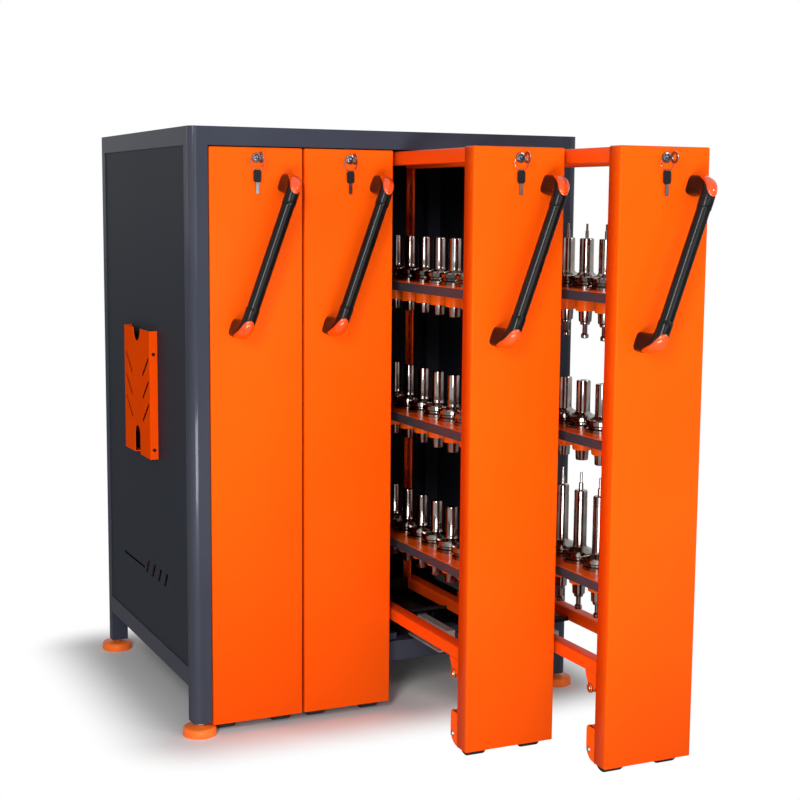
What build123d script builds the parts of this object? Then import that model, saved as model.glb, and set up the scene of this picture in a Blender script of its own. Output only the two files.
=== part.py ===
"""Tool storage cabinet: a steel cabinet with four pull-out bays that carry machine tool holders.

Lengths are in millimetres. Each piece is drawn in cabinet coordinates: x from the left side, y from
the front face towards the back, z from the floor. On_floor() then moves it to the part's own origin,
the middle of the floor area that the cabinet and its two open bays cover.
"""

import os
from math import atan2, cos, degrees, hypot, pi, radians, sin

from build123d import *

# Flats that stand for a circle on small round pieces, and for a quarter circle on folded edges
SMALL_SIDES = 10
WHEEL_SIDES = 20
FOOT_SIDES = 16
QUARTER_STEPS = 4

# Cabinet
CABINET_WIDTH = 856
CABINET_DEPTH = 680
CABINET_HEIGHT = 1200
POST_SIDE = 37
POST_WALL = 2
POST_ROUND = 14
POST_FROM_FLOOR = 26
TOP_RAIL_HEIGHT = 36
SIDE_RAIL_WIDTH = 30
BASE_TOP = 134
SIDE_RAIL_HEIGHT = 38
CROSS_RAIL_HEIGHT = 42
CROSS_RAIL_DEPTH = 38
CROSS_RAIL_SET_BACK = 3
ROOF_SHEET = 2
SIDE_SHEET = 1.5
SIDE_RECESS = 2

# Levelling feet
FOOT_RADIUS = 34
FOOT_HEIGHT = 18
FOOT_INSET = 16
FOOT_TAPER = 5
STEM_RADIUS = 6
STEM_TOP = 60
STEM_CLEARANCE = 0.05

# Stripe slots in the left side, low down towards the front
STRIPE_COUNT = 4
STRIPE_PITCH = 46
STRIPE_WIDTH = 13
STRIPE_HEIGHT = 30
STRIPE_SLANT = 19
STRIPE_FIRST_Y = 204
STRIPE_Z = 275
LINE_SLOT_Y = (357, 526)
LINE_SLOT_Z = 267
LINE_SLOT_WIDTH = 5

# Document pocket on the left side
POCKET_DEPTH = 15
POCKET_WIDTH = 196
POCKET_HEIGHT = 268
POCKET_FRONT_Y = 240
POCKET_FOOT_Z = 523
POCKET_SHEET = 1.5
NOTCH_RADIUS = 27
ARCH_WIDTH = 43
ARCH_HEIGHT = 60
CHEVRON_COUNT = 3
CHEVRON_PITCH = 48
CHEVRON_RUN = 50
CHEVRON_DROP = 43
CHEVRON_WIDTH = 9
CHEVRON_FIRST_Z = 190

# Bays
BAY_COUNT = 4
SIDE_GAP = 2.5
PANEL_GAP = 4.6
PANEL_SHEET = 1.5
PANEL_FLANGE = 37
PANEL_FROM_FLOOR = 28.5
PANEL_TOP_GAP = 2
BAY_LENGTH = 620
BAY_PULLED_OUT = (0, 0, 340, 521)
LOADED_BAYS = (2, 3)

# Bay frame
TUBE_WIDTH = 28
TUBE_WALL = 1.5
TUBE_INSET = 8
TOP_TUBE_HEIGHT = 27
LOW_TUBE_HEIGHT = 25
LOW_TUBE_TOP = 211
CROSS_BAR = 30
CROSS_BAR_WALL = 3
UPRIGHT_WIDTH = 36
UPRIGHT_DEPTH = 10
UPRIGHT_WALL = 1.5
UPRIGHT_FRONT_Y = 40
UPRIGHT_REAR_INSET = 4

# Guide shoe on top of each bay, and the channel under the roof that it runs in
SHOE_WIDTH = 28
SHOE_LENGTH = 40
SHOE_HEIGHT = 14
SHOE_NECK_WIDTH = 12
SHOE_NECK_HEIGHT = 12
GUIDE_CLEARANCE = 1
GUIDE_WALL = 2
GUIDE_START_Y = 56

# Landing rollers under the front of each bay, and the pads that they come to
BRACKET_FRONT_Y = 50
BRACKET_LENGTH = 38
BRACKET_DROP = 38
BRACKET_CORNER = 8
BRACKET_SHEET = 3
ROLLER_RADIUS = 8.5
ROLLER_SET_BACK = 66
PAD_LENGTH = 24
PAD_CLEARANCE = 0.5

# Trays, and the plates with tapered sockets that lie in them
TRAY_DROPS = (267, 542, 813)
TRAY_HEIGHT = 18
TRAY_WALL = 2
TRAY_LEDGE = 10
PLATE_CLEARANCE = 0.5
SOCKET_SIDES = 12
SOCKET_PITCH = 70
ROW_END = 60
SOCKET_TOP_RADIUS = 22
SOCKET_FOOT_RADIUS = 13
SOCKET_DROP = 64

# Tool holders
HOLDER_FLANGE_RADIUS = 31.5
HOLDER_FLANGE_HEIGHT = 25
NOSE_RADIUS = 13.5
SHORT_NOSE = 94
MIDDLE_NOSE = 95
TALL_NOSE = 98
LONG_NOSE = 146
NOSE_HEIGHTS = ((SHORT_NOSE, SHORT_NOSE, SHORT_NOSE), (TALL_NOSE, MIDDLE_NOSE, LONG_NOSE))

# Runner under each bay: channel on the cabinet, middle member with a web, rail on the bay's rear
RUNNER_WIDTH = 62
RUNNER_WALL = 3
RUNNER_HEIGHT = 46
RUNNER_CLEARANCE = 1
RUNNER_FRONT_Y = 60
MIDDLE_SET_BACK = 25
MIDDLE_LENGTH = 545
MIDDLE_WEB_WIDTH = 18
MIDDLE_FOOT_HEIGHT = 4
RAIL_LENGTH = 228

# Pull handle, set aslant on each panel
HANDLE_FOOT_X = 53
HANDLE_RUN = 102
HANDLE_RISE = 280
HANDLE_HEAD_BELOW_TOP = 69
GRIP_RADIUS = 12.5
GRIP_STAND_OFF = 55
GRIP_SOCKET_WALL = 1
LEG_LENGTH = 36
LEG_WIDTH = 27
LEG_ROUND = 38
LEG_INNER_DROP = 12
CAP_THICKNESS = 4
SOCKET_REACH = 44

# Lock, key and the spare key on its ring
LOCK_BELOW_TOP = 20
LOCK_RADIUS = 9.5
LOCK_STANDS_OUT = 4
LOCK_LENGTH = 41
LOCK_CLEARANCE = 0.2
PLUG_RADIUS = 6
PLUG_CLEARANCE = 0.05
CAM_LENGTH = 30
CAM_WIDTH = 14
CAM_SHEET = 2.5
CAM_GAP = 1
KEY_SHEET = 2
KEY_SHANK_LENGTH = 12
KEY_SHANK_WIDTH = 6
KEY_BOW_RADIUS = 11
KEY_HOLE_RADIUS = 7
KEY_BOW_SIDES = 8
RING_RADIUS = 14.5
RING_WIRE = 1.4
RING_CLEARANCE = 0.3
SPARE_HEAD_WIDTH = 15
SPARE_HEAD_HEIGHT = 24
SPARE_HEAD_THICKNESS = 4
SPARE_BLADE_LENGTH = 22
SPARE_BLADE_WIDTH = 6

# Wheels under each panel
WHEEL_RADIUS = 25
WHEEL_WIDTH = 36
WHEEL_SET_BACK = 40
WHEEL_INSET = 36
AXLE_RADIUS = 5
AXLE_CLEARANCE = 0.05
FORK_SHEET = 3
FORK_LENGTH = 68
FORK_ABOVE_FOOT = 2
FORK_TOP = 88
FORK_ROUND = 26
FORK_TOP_CORNER = 10
WHEEL_SIDE_GAP = 2

# Worked out from the sizes above
PANEL_TOP = CABINET_HEIGHT - TOP_RAIL_HEIGHT - PANEL_TOP_GAP
OPENING_WIDTH = CABINET_WIDTH - 2 * POST_SIDE
PANEL_WIDTH = (OPENING_WIDTH - 2 * SIDE_GAP - (BAY_COUNT - 1) * PANEL_GAP) / BAY_COUNT
BAY_PITCH = PANEL_WIDTH + PANEL_GAP
BAY_LEFT = POST_SIDE + SIDE_GAP
TOP_TUBE_TOP = PANEL_TOP - PANEL_SHEET
LOW_TUBE_FOOT = LOW_TUBE_TOP - LOW_TUBE_HEIGHT
CROSS_RAIL_FRONT_Y = PANEL_FLANGE + CROSS_RAIL_SET_BACK
SIDE_TOP_RAIL_FOOT = CABINET_HEIGHT - TOP_RAIL_HEIGHT
UPRIGHT_REAR_Y = BAY_LENGTH - UPRIGHT_REAR_INSET - UPRIGHT_WIDTH
TRAY_REAR_Y = UPRIGHT_REAR_Y + UPRIGHT_WIDTH
TRAY_TOPS = [PANEL_TOP - drop for drop in TRAY_DROPS]
SOCKETS_IN_ROW = int((TRAY_REAR_Y - UPRIGHT_FRONT_Y - 2 * ROW_END) / SOCKET_PITCH) + 1
LEG_SOCKET_RADIUS = GRIP_RADIUS + GRIP_SOCKET_WALL
GRIP_REACH = GRIP_STAND_OFF + LEG_SOCKET_RADIUS + CAP_THICKNESS
MIDDLE_FOOT_Z = BASE_TOP + RUNNER_WALL + RUNNER_CLEARANCE
PAD_TOP = LOW_TUBE_FOOT - BRACKET_DROP - PAD_CLEARANCE
FOOT_OVERHANG = FOOT_RADIUS - FOOT_INSET
FORK_FROM_FLOOR = FOOT_HEIGHT + FORK_ABOVE_FOOT


def block(x, y, z):
    """A block between a low and a high limit along each axis."""
    size = Box(x[1] - x[0], y[1] - y[0], z[1] - z[0], align=(Align.MIN,) * 3)
    return Pos(x[0], y[0], z[0]) * size


def bar(centre, radius, length, axis, sides=SMALL_SIDES):
    """A round bar that starts at a centre and runs along an axis direction, its edges at the radius."""
    return extrude(Plane(centre, z_dir=axis) * RegularPolygon(radius, sides), length)


def bore(centre, radius, length, axis, sides=SMALL_SIDES):
    """The space of a round hole, its flats at the radius, so that a bar of that radius turns in it."""
    outline = RegularPolygon(radius, sides, major_radius=False)
    return extrude(Plane(centre, z_dir=axis) * outline, length)


def quarter_round(centre, radius, start):
    """Points along a quarter circle, anticlockwise from a start angle in degrees."""
    turns = [radians(start + 90 * step / QUARTER_STEPS) for step in range(QUARTER_STEPS + 1)]
    return [(centre[0] + radius * cos(turn), centre[1] + radius * sin(turn)) for turn in turns]


def joined(pieces):
    """Pieces welded into one solid."""
    first, *others = pieces
    return first.fuse(*others).clean()


def on_floor(shape):
    """The shape moved from cabinet coordinates to the part's own origin."""
    side_reach = max(POCKET_DEPTH, FOOT_OVERHANG)
    middle_x = (CABINET_WIDTH + FOOT_OVERHANG - side_reach) / 2
    front = -max(BAY_PULLED_OUT) - GRIP_REACH
    back = CABINET_DEPTH + FOOT_OVERHANG
    return Pos(-middle_x, -(front + back) / 2, 0) * shape


def write(name, *solids):
    """Writes one node's solids as a STEP file."""
    export_step(Compound(children=[on_floor(solid) for solid in solids]), f"parts/{name}.step")


# Cabinet


def post(turn, centre_x, centre_y):
    """A corner tube whose outer edge is rounded, closed below by the plate that the foot screws into."""

    def section(inset):
        side = POST_SIDE - 2 * inset
        square = Rectangle(side, side)
        corner = square.vertices().sort_by(lambda v: v.X + v.Y)[0]
        return fillet(corner, POST_ROUND - inset)

    plug_thickness = 2 * POST_WALL
    outside = extrude(section(0), CABINET_HEIGHT - POST_FROM_FLOOR)
    hollow_height = CABINET_HEIGHT - POST_FROM_FLOOR - plug_thickness - ROOF_SHEET
    hollow = Pos(0, 0, plug_thickness) * extrude(section(POST_WALL), hollow_height)
    stem_offset = FOOT_INSET - POST_SIDE / 2
    hole_radius = STEM_RADIUS + STEM_CLEARANCE
    stem_hole = bore((stem_offset, stem_offset, 0), hole_radius, plug_thickness, (0, 0, 1))
    return Pos(centre_x, centre_y, POST_FROM_FLOOR) * Rot(0, 0, turn) * (outside - hollow - stem_hole)


def channel(x, y, z, open_side):
    """A folded channel: a bar hollowed from one side, given as the axis index and its sign."""
    axis, sign = open_side
    low, high = [list(pair) for pair in zip(x, y, z)]
    for index in range(3):
        low[index] += POST_WALL
        high[index] -= POST_WALL
    longest = max(range(3), key=lambda index: (x, y, z)[index][1] - (x, y, z)[index][0])
    low[longest], high[longest] = (x, y, z)[longest]
    if sign > 0:
        high[axis] = (x, y, z)[axis][1]
    else:
        low[axis] = (x, y, z)[axis][0]
    return block(x, y, z) - block(*zip(low, high))


def cabinet_frame():
    """Posts, top and base rails, roof sheet, top guides and landing pads, welded together."""
    near = POST_SIDE / 2
    right, back = CABINET_WIDTH - near, CABINET_DEPTH - near
    inner_x = (POST_SIDE, CABINET_WIDTH - POST_SIDE)
    inner_y = (POST_SIDE, CABINET_DEPTH - POST_SIDE)
    top_z = (SIDE_TOP_RAIL_FOOT, CABINET_HEIGHT)
    side_z = (BASE_TOP - SIDE_RAIL_HEIGHT, BASE_TOP)
    cross_z = (BASE_TOP - CROSS_RAIL_HEIGHT, BASE_TOP)
    front_cross_y = (CROSS_RAIL_FRONT_Y, CROSS_RAIL_FRONT_Y + CROSS_RAIL_DEPTH)
    back_y = (CABINET_DEPTH - POST_SIDE, CABINET_DEPTH)
    left_x = (0, SIDE_RAIL_WIDTH)
    right_x = (CABINET_WIDTH - SIDE_RAIL_WIDTH, CABINET_WIDTH)
    pieces = [
        post(0, near, near),
        post(90, right, near),
        post(180, right, back),
        post(270, near, back),
        channel(inner_x, (0, POST_SIDE), top_z, (2, -1)),
        channel(inner_x, back_y, top_z, (2, -1)),
        channel(inner_x, back_y, side_z, (2, -1)),
    ]
    for x, open_sign in ((left_x, 1), (right_x, -1)):
        pieces.append(channel(x, inner_y, top_z, (0, open_sign)))
        pieces.append(channel(x, inner_y, side_z, (0, open_sign)))
    between_sides = (SIDE_RAIL_WIDTH, CABINET_WIDTH - SIDE_RAIL_WIDTH)
    pieces.append(channel(between_sides, front_cross_y, cross_z, (2, -1)))
    pieces.append(
        block(between_sides, inner_y, (CABINET_HEIGHT - ROOF_SHEET, CABINET_HEIGHT))
    )
    for bay in range(BAY_COUNT):
        pieces.append(top_guide(bay))
        pieces.extend(landing_pads(bay))
    return joined(pieces)


def top_guide(bay):
    """The channel, open below, that hangs from the roof over one bay."""
    middle = bay_left(bay) + PANEL_WIDTH / 2
    half = SHOE_WIDTH / 2 + GUIDE_CLEARANCE
    foot = TOP_TUBE_TOP + SHOE_NECK_HEIGHT / 2
    roof = CABINET_HEIGHT - ROOF_SHEET
    y = (GUIDE_START_Y, CABINET_DEPTH - POST_SIDE)
    outside = block((middle - half - GUIDE_WALL, middle + half + GUIDE_WALL), y, (foot, roof))
    return outside - block((middle - half, middle + half), y, (foot, roof))


def landing_pads(bay):
    """Two pads on the front cross rail, where the bay's rollers come to rest."""
    y_middle = ROLLER_SET_BACK
    y = (y_middle - PAD_LENGTH / 2, CROSS_RAIL_FRONT_Y + CROSS_RAIL_DEPTH)
    return [block(x, y, (BASE_TOP, PAD_TOP)) for x in tube_spans(bay)]


def side_sheet(outer_x, inward):
    """A sheet recessed in the window of one side of the cabinet."""
    face = outer_x + inward * SIDE_RECESS
    x = sorted((face, face + inward * SIDE_SHEET))
    y = (POST_SIDE, CABINET_DEPTH - POST_SIDE)
    return block(x, y, (BASE_TOP, SIDE_TOP_RAIL_FOOT))


def left_side_panel():
    """The left sheet, with a thin line and a row of slanted stripes cut through it."""
    panel = side_sheet(0, 1)
    half = STRIPE_WIDTH / 2
    stripe = Polygon(
        (-half, 0),
        (half, 0),
        (half - STRIPE_SLANT, STRIPE_HEIGHT),
        (-half - STRIPE_SLANT, STRIPE_HEIGHT),
        align=None,
    )
    cuts = [
        Pos(STRIPE_FIRST_Y + STRIPE_PITCH * index, STRIPE_Z - STRIPE_HEIGHT / 2) * stripe
        for index in range(STRIPE_COUNT)
    ]
    line_middle = sum(LINE_SLOT_Y) / 2
    line_length = LINE_SLOT_Y[1] - LINE_SLOT_Y[0]
    cuts.append(Pos(line_middle, LINE_SLOT_Z) * Rectangle(line_length, LINE_SLOT_WIDTH))
    for cut in cuts:
        panel -= extrude(Plane.YZ * cut, 2 * (SIDE_RECESS + SIDE_SHEET))
    return panel


def back_panel():
    """The sheet that closes the back."""
    face = CABINET_DEPTH - SIDE_RECESS
    x = (POST_SIDE, CABINET_WIDTH - POST_SIDE)
    return block(x, (face - SIDE_SHEET, face), (BASE_TOP, SIDE_TOP_RAIL_FOOT))


def document_pocket():
    """A shallow folded pocket with a finger notch, chevron slots and an arched slot."""
    width, height = POCKET_WIDTH, POCKET_HEIGHT
    y = (POCKET_FRONT_Y, POCKET_FRONT_Y + width)
    z = (POCKET_FOOT_Z, POCKET_FOOT_Z + height)
    x = (-POCKET_DEPTH, SIDE_RECESS)
    inside = block(
        (x[0] + POCKET_SHEET, x[1]),
        (y[0] + POCKET_SHEET, y[1] - POCKET_SHEET),
        (z[0] + POCKET_SHEET, z[1]),
    )
    pocket = block(x, y, z) - inside
    middle = width / 2
    slot_length = hypot(CHEVRON_RUN, CHEVRON_DROP)
    slope = degrees(atan2(CHEVRON_DROP, CHEVRON_RUN))
    arch_radius = ARCH_WIDTH / 2
    cuts = [
        Pos(middle, height) * Circle(NOTCH_RADIUS),
        Pos(middle, ARCH_HEIGHT - arch_radius) * Circle(arch_radius),
        Pos(middle, (ARCH_HEIGHT - arch_radius) / 2)
        * Rectangle(ARCH_WIDTH, ARCH_HEIGHT - arch_radius),
    ]
    for side in (-1, 1):
        for index in range(CHEVRON_COUNT):
            across = middle + side * (middle - CHEVRON_WIDTH - CHEVRON_RUN / 2)
            up = CHEVRON_FIRST_Z - index * CHEVRON_PITCH
            slot = Rectangle(slot_length, CHEVRON_WIDTH)
            cuts.append(Pos(across, up) * Rot(0, 0, side * slope) * slot)
    face = Plane((x[0], y[0], z[0]), x_dir=(0, 1, 0), z_dir=(1, 0, 0))
    for cut in cuts:
        pocket -= extrude(face * cut, POCKET_SHEET)
    pocket -= block(
        (x[0] + POCKET_SHEET, x[1]),
        (y[0] + middle - arch_radius, y[0] + middle + arch_radius),
        (z[0], z[0] + POCKET_SHEET),
    )
    return pocket


def foot(x, y):
    """A levelling foot: a pad that narrows upwards and the stem that screws into the post."""
    pad = extrude(RegularPolygon(FOOT_RADIUS, FOOT_SIDES), FOOT_HEIGHT, taper=FOOT_TAPER)
    stem = bar((0, 0, FOOT_HEIGHT), STEM_RADIUS, STEM_TOP - FOOT_HEIGHT, (0, 0, 1))
    return Pos(x, y, 0) * joined([pad, stem])


# Bays


def bay_left(bay):
    """The left edge of one bay's panel."""
    return BAY_LEFT + bay * BAY_PITCH


def tube_spans(bay):
    """The x limits of the left and the right tube of one bay's frame."""
    left = bay_left(bay)
    right = left + PANEL_WIDTH
    return (
        (left + TUBE_INSET, left + TUBE_INSET + TUBE_WIDTH),
        (right - TUBE_INSET - TUBE_WIDTH, right - TUBE_INSET),
    )


def bay_panel(bay):
    """The folded front panel, with the forks for its two wheels welded in at the foot."""
    left = bay_left(bay)
    right = left + PANEL_WIDTH
    z = (PANEL_FROM_FLOOR, PANEL_TOP)
    shell = block((left, right), (0, PANEL_FLANGE), z)
    inside = block(
        (left + PANEL_SHEET, right - PANEL_SHEET),
        (PANEL_SHEET, PANEL_FLANGE),
        (z[0], z[1] - PANEL_SHEET),
    )
    lock_hole = bore(lock_centre(bay), LOCK_RADIUS + LOCK_CLEARANCE, PANEL_SHEET, (0, 1, 0))
    pieces = [shell - inside - lock_hole]
    for wheel_x in wheel_centres(bay):
        outward = -1 if wheel_x < left + PANEL_WIDTH / 2 else 1
        pieces.extend(fork(wheel_x, outward))
    return joined(pieces)


def wheel_centres(bay):
    """The x of the middle of the bay's two wheels."""
    left = bay_left(bay)
    return (left + WHEEL_INSET, left + PANEL_WIDTH - WHEEL_INSET)


def fork_plate(x_low):
    """A side plate of a wheel fork, well rounded at its lower back corner."""
    slope = PANEL_FROM_FLOOR - FORK_FROM_FLOOR
    outline = Polyline(
        (PANEL_SHEET, PANEL_FROM_FLOOR),
        (PANEL_SHEET + slope, FORK_FROM_FLOOR),
        *quarter_round((FORK_LENGTH - FORK_ROUND, FORK_FROM_FLOOR + FORK_ROUND), FORK_ROUND, -90),
        (FORK_LENGTH, FORK_TOP - FORK_TOP_CORNER),
        (FORK_LENGTH - FORK_TOP_CORNER, FORK_TOP),
        (PANEL_SHEET, FORK_TOP),
        close=True,
    )
    side = Plane((x_low, 0, 0), x_dir=(0, 1, 0), z_dir=(1, 0, 0))
    return extrude(side * make_face(outline), FORK_SHEET)


def fork(wheel_x, outward):
    """Two plates, a bridge over the wheel and the fixed axle between them."""
    outer_face = wheel_x + outward * (WHEEL_INSET - PANEL_SHEET)
    inner_face = wheel_x - outward * (WHEEL_WIDTH / 2 + WHEEL_SIDE_GAP + FORK_SHEET)
    low, high = sorted((outer_face, inner_face))
    bridge_y = (PANEL_SHEET, FORK_LENGTH - FORK_TOP_CORNER)
    return [
        fork_plate(low),
        fork_plate(high - FORK_SHEET),
        block((low, high), bridge_y, (FORK_TOP - FORK_SHEET, FORK_TOP)),
        bar((low, WHEEL_SET_BACK, WHEEL_RADIUS), AXLE_RADIUS, high - low, (1, 0, 0)),
    ]


def wheel(wheel_x):
    """A plain wheel that turns on the fork's axle."""
    centre = (wheel_x - WHEEL_WIDTH / 2, WHEEL_SET_BACK, WHEEL_RADIUS)
    rim = bar(centre, WHEEL_RADIUS, WHEEL_WIDTH, (1, 0, 0), WHEEL_SIDES)
    return rim - bore(centre, AXLE_RADIUS + AXLE_CLEARANCE, WHEEL_WIDTH, (1, 0, 0))


def tube(x, z):
    """A square tube of a bay's frame, from the panel to the back of the bay."""
    y = (PANEL_SHEET, BAY_LENGTH)
    inner_x = (x[0] + TUBE_WALL, x[1] - TUBE_WALL)
    inner_z = (z[0] + TUBE_WALL, z[1] - TUBE_WALL)
    return block(x, y, z) - block(inner_x, y, inner_z)


def angle_bar(x, y, z):
    """A cross bar folded to an angle: a plate below and one at the front."""
    flat = block(x, y, (z[0], z[0] + CROSS_BAR_WALL))
    return flat.fuse(block(x, (y[0], y[0] + CROSS_BAR_WALL), z))


def roller_bracket(x):
    """A tapered bracket under a lower tube, with its roller."""
    back = BRACKET_FRONT_Y + BRACKET_LENGTH
    foot_z = LOW_TUBE_FOOT - BRACKET_DROP
    profile = Polyline(
        (BRACKET_FRONT_Y, LOW_TUBE_FOOT),
        (back, LOW_TUBE_FOOT),
        (back - BRACKET_CORNER, foot_z + BRACKET_CORNER),
        (back - 2 * BRACKET_CORNER, foot_z),
        (BRACKET_FRONT_Y, foot_z),
        close=True,
    )
    plane = Plane((x[0], 0, 0), x_dir=(0, 1, 0), z_dir=(1, 0, 0))
    plate = extrude(plane * make_face(profile), BRACKET_SHEET)
    centre = (x[0], ROLLER_SET_BACK, foot_z + ROLLER_RADIUS)
    return [plate, bar(centre, ROLLER_RADIUS, x[1] - x[0], (1, 0, 0))]


def guide_shoe(bay):
    """The shoe that steers the back of the bay in the channel under the roof."""
    middle = bay_left(bay) + PANEL_WIDTH / 2
    y = (BAY_LENGTH - SHOE_LENGTH, BAY_LENGTH)
    neck_top = TOP_TUBE_TOP + SHOE_NECK_HEIGHT
    neck = block(
        (middle - SHOE_NECK_WIDTH / 2, middle + SHOE_NECK_WIDTH / 2), y, (TOP_TUBE_TOP, neck_top)
    )
    head = block(
        (middle - SHOE_WIDTH / 2, middle + SHOE_WIDTH / 2), y, (neck_top, neck_top + SHOE_HEIGHT)
    )
    return [neck, head]


def bay_frame(bay):
    """Four tubes, the cross bars and uprights between them, the brackets and the guide shoe."""
    left, right = tube_spans(bay)
    between = (left[1], right[0])
    top_z = (TOP_TUBE_TOP - TOP_TUBE_HEIGHT, TOP_TUBE_TOP)
    low_z = (LOW_TUBE_FOOT, LOW_TUBE_TOP)
    rear_y = (BAY_LENGTH - CROSS_BAR, BAY_LENGTH)
    rail_y = (BAY_LENGTH - RAIL_LENGTH, BAY_LENGTH - RAIL_LENGTH + CROSS_BAR)
    front_y = (PANEL_SHEET, PANEL_SHEET + CROSS_BAR)
    pieces = []
    for x in (left, right):
        pieces.append(tube(x, top_z))
        pieces.append(tube(x, low_z))
        pieces.extend(roller_bracket(x))
    for y in (front_y, rail_y, rear_y):
        pieces.append(angle_bar(between, y, low_z))
    top_bar_y = (BAY_LENGTH - SHOE_LENGTH, BAY_LENGTH)
    pieces.append(block(between, top_bar_y, (TOP_TUBE_TOP - CROSS_BAR_WALL, TOP_TUBE_TOP)))
    pieces.extend(guide_shoe(bay))
    pieces.extend(uprights(bay))
    return joined(pieces)


def upright(web_x, outward, y_front):
    """A channel upright, open towards the side of the bay."""
    y = (y_front, y_front + UPRIGHT_WIDTH)
    z = (LOW_TUBE_TOP, TOP_TUBE_TOP - TOP_TUBE_HEIGHT)
    x = sorted((web_x, web_x + outward * UPRIGHT_DEPTH))
    hollow_x = sorted((web_x + outward * UPRIGHT_WALL, web_x + outward * UPRIGHT_DEPTH))
    return block(x, y, z) - block(hollow_x, (y[0] + UPRIGHT_WALL, y[1] - UPRIGHT_WALL), z)


def uprights(bay):
    """The four uprights that carry the trays."""
    left, right = tube_spans(bay)
    return [
        upright(web_x, outward, y_front)
        for web_x, outward in ((left[1], -1), (right[0], 1))
        for y_front in (UPRIGHT_FRONT_Y, UPRIGHT_REAR_Y)
    ]


def tray_span(bay):
    """The x and y limits of a bay's trays, which hang between the webs of its uprights."""
    left, right = tube_spans(bay)
    return (left[1], right[0]), (UPRIGHT_FRONT_Y, TRAY_REAR_Y)


def tray(bay, top):
    """An open tray: four walls with a ledge round their foot."""
    x, y = tray_span(bay)
    foot_z = top - TRAY_HEIGHT

    def inside(inset, z):
        return block((x[0] + inset, x[1] - inset), (y[0] + inset, y[1] - inset), z)

    above_ledge = inside(TRAY_WALL, (foot_z + TRAY_WALL, top))
    through = inside(TRAY_LEDGE, (foot_z, foot_z + TRAY_WALL))
    return block(x, y, (foot_z, top)) - above_ledge - through


def socket_places(bay):
    """The x and y of each socket, in one row along the middle of a tray."""
    x, y = tray_span(bay)
    first_y = (sum(y) - (SOCKETS_IN_ROW - 1) * SOCKET_PITCH) / 2
    return [(sum(x) / 2, first_y + index * SOCKET_PITCH) for index in range(SOCKETS_IN_ROW)]


def socket_plate(bay, top):
    """The plate that lies in a tray, with the sockets for the tool holders in the loaded bays."""
    inset = TRAY_WALL + PLATE_CLEARANCE
    x, y = [(low + inset, high - inset) for low, high in tray_span(bay)]
    plate_foot = top - TRAY_HEIGHT + TRAY_WALL
    pieces = [block(x, y, (plate_foot, top))]
    if bay in LOADED_BAYS:
        depth = plate_foot - (top - SOCKET_DROP)
        for socket_x, socket_y in socket_places(bay):
            pieces.append(socket((socket_x, socket_y, plate_foot), depth))
    return joined(pieces)


def socket(centre, depth):
    """A tapered socket that hangs under a plate and closes round the shank of a tool holder."""
    narrowing = (SOCKET_TOP_RADIUS - SOCKET_FOOT_RADIUS) * cos(pi / SOCKET_SIDES)
    slope = degrees(atan2(narrowing, depth))
    upside_down = extrude(RegularPolygon(SOCKET_TOP_RADIUS, SOCKET_SIDES), depth, taper=slope)
    return Pos(*centre) * Rot(180, 0, 0) * upside_down


def prism(radius, low, high):
    """A straight prism about the z axis, with as many sides as a socket."""
    return extrude(Pos(0, 0, low) * RegularPolygon(radius, SOCKET_SIDES), high - low)


def tool_holder(nose_height):
    """A tool holder above its socket: the flange that rests on the plate, and the nose."""
    flange = prism(HOLDER_FLANGE_RADIUS, 0, HOLDER_FLANGE_HEIGHT)
    return joined([flange, prism(NOSE_RADIUS, HOLDER_FLANGE_HEIGHT, nose_height)])


def tool_holders(bay):
    """The holders in all the sockets of a loaded bay."""
    heights = NOSE_HEIGHTS[LOADED_BAYS.index(bay)]
    holders = []
    for top, height in zip(TRAY_TOPS, heights):
        holder = tool_holder(height)
        holders.extend(Pos(x, y, top) * holder for x, y in socket_places(bay))
    return holders


# Runners


def runner_middle_x(bay):
    """The x of the middle of a bay's runner."""
    return bay_left(bay) + PANEL_WIDTH / 2


def centred(bay, width, y, z):
    """A bar on the middle line of a bay's runner."""
    middle = runner_middle_x(bay)
    return block((middle - width / 2, middle + width / 2), y, z)


def outer_runner(bay):
    """The channel, open above, that is bolted to the cabinet's base."""
    y = (RUNNER_FRONT_Y, CABINET_DEPTH - POST_SIDE)
    top_z = BASE_TOP + RUNNER_HEIGHT
    outside = centred(bay, RUNNER_WIDTH, y, (BASE_TOP, top_z))
    return outside - centred(bay, RUNNER_WIDTH - 2 * RUNNER_WALL, y, (BASE_TOP + RUNNER_WALL, top_z))


def middle_runner(bay):
    """The member that slides in the outer channel, half as far as the bay: a wide foot and a web."""
    front = RUNNER_FRONT_Y + MIDDLE_SET_BACK
    y = (front, front + MIDDLE_LENGTH)
    foot_width = RUNNER_WIDTH - 2 * (RUNNER_WALL + RUNNER_CLEARANCE)
    web_top = LOW_TUBE_FOOT - RUNNER_WALL - RUNNER_CLEARANCE
    foot = centred(bay, foot_width, y, (MIDDLE_FOOT_Z, MIDDLE_FOOT_Z + MIDDLE_FOOT_HEIGHT))
    return joined([foot, centred(bay, MIDDLE_WEB_WIDTH, y, (MIDDLE_FOOT_Z, web_top))])


def bay_rail(bay):
    """The rail under the rear of the bay: a channel, open below, that slides over the middle web."""
    y = (BAY_LENGTH - RAIL_LENGTH, BAY_LENGTH)
    foot_z = MIDDLE_FOOT_Z + MIDDLE_FOOT_HEIGHT + RUNNER_CLEARANCE
    inner_width = MIDDLE_WEB_WIDTH + 2 * RUNNER_CLEARANCE
    outside = centred(bay, inner_width + 2 * RUNNER_WALL, y, (foot_z, LOW_TUBE_FOOT))
    return outside - centred(bay, inner_width, y, (foot_z, LOW_TUBE_FOOT - RUNNER_WALL))


# Handle and lock


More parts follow.
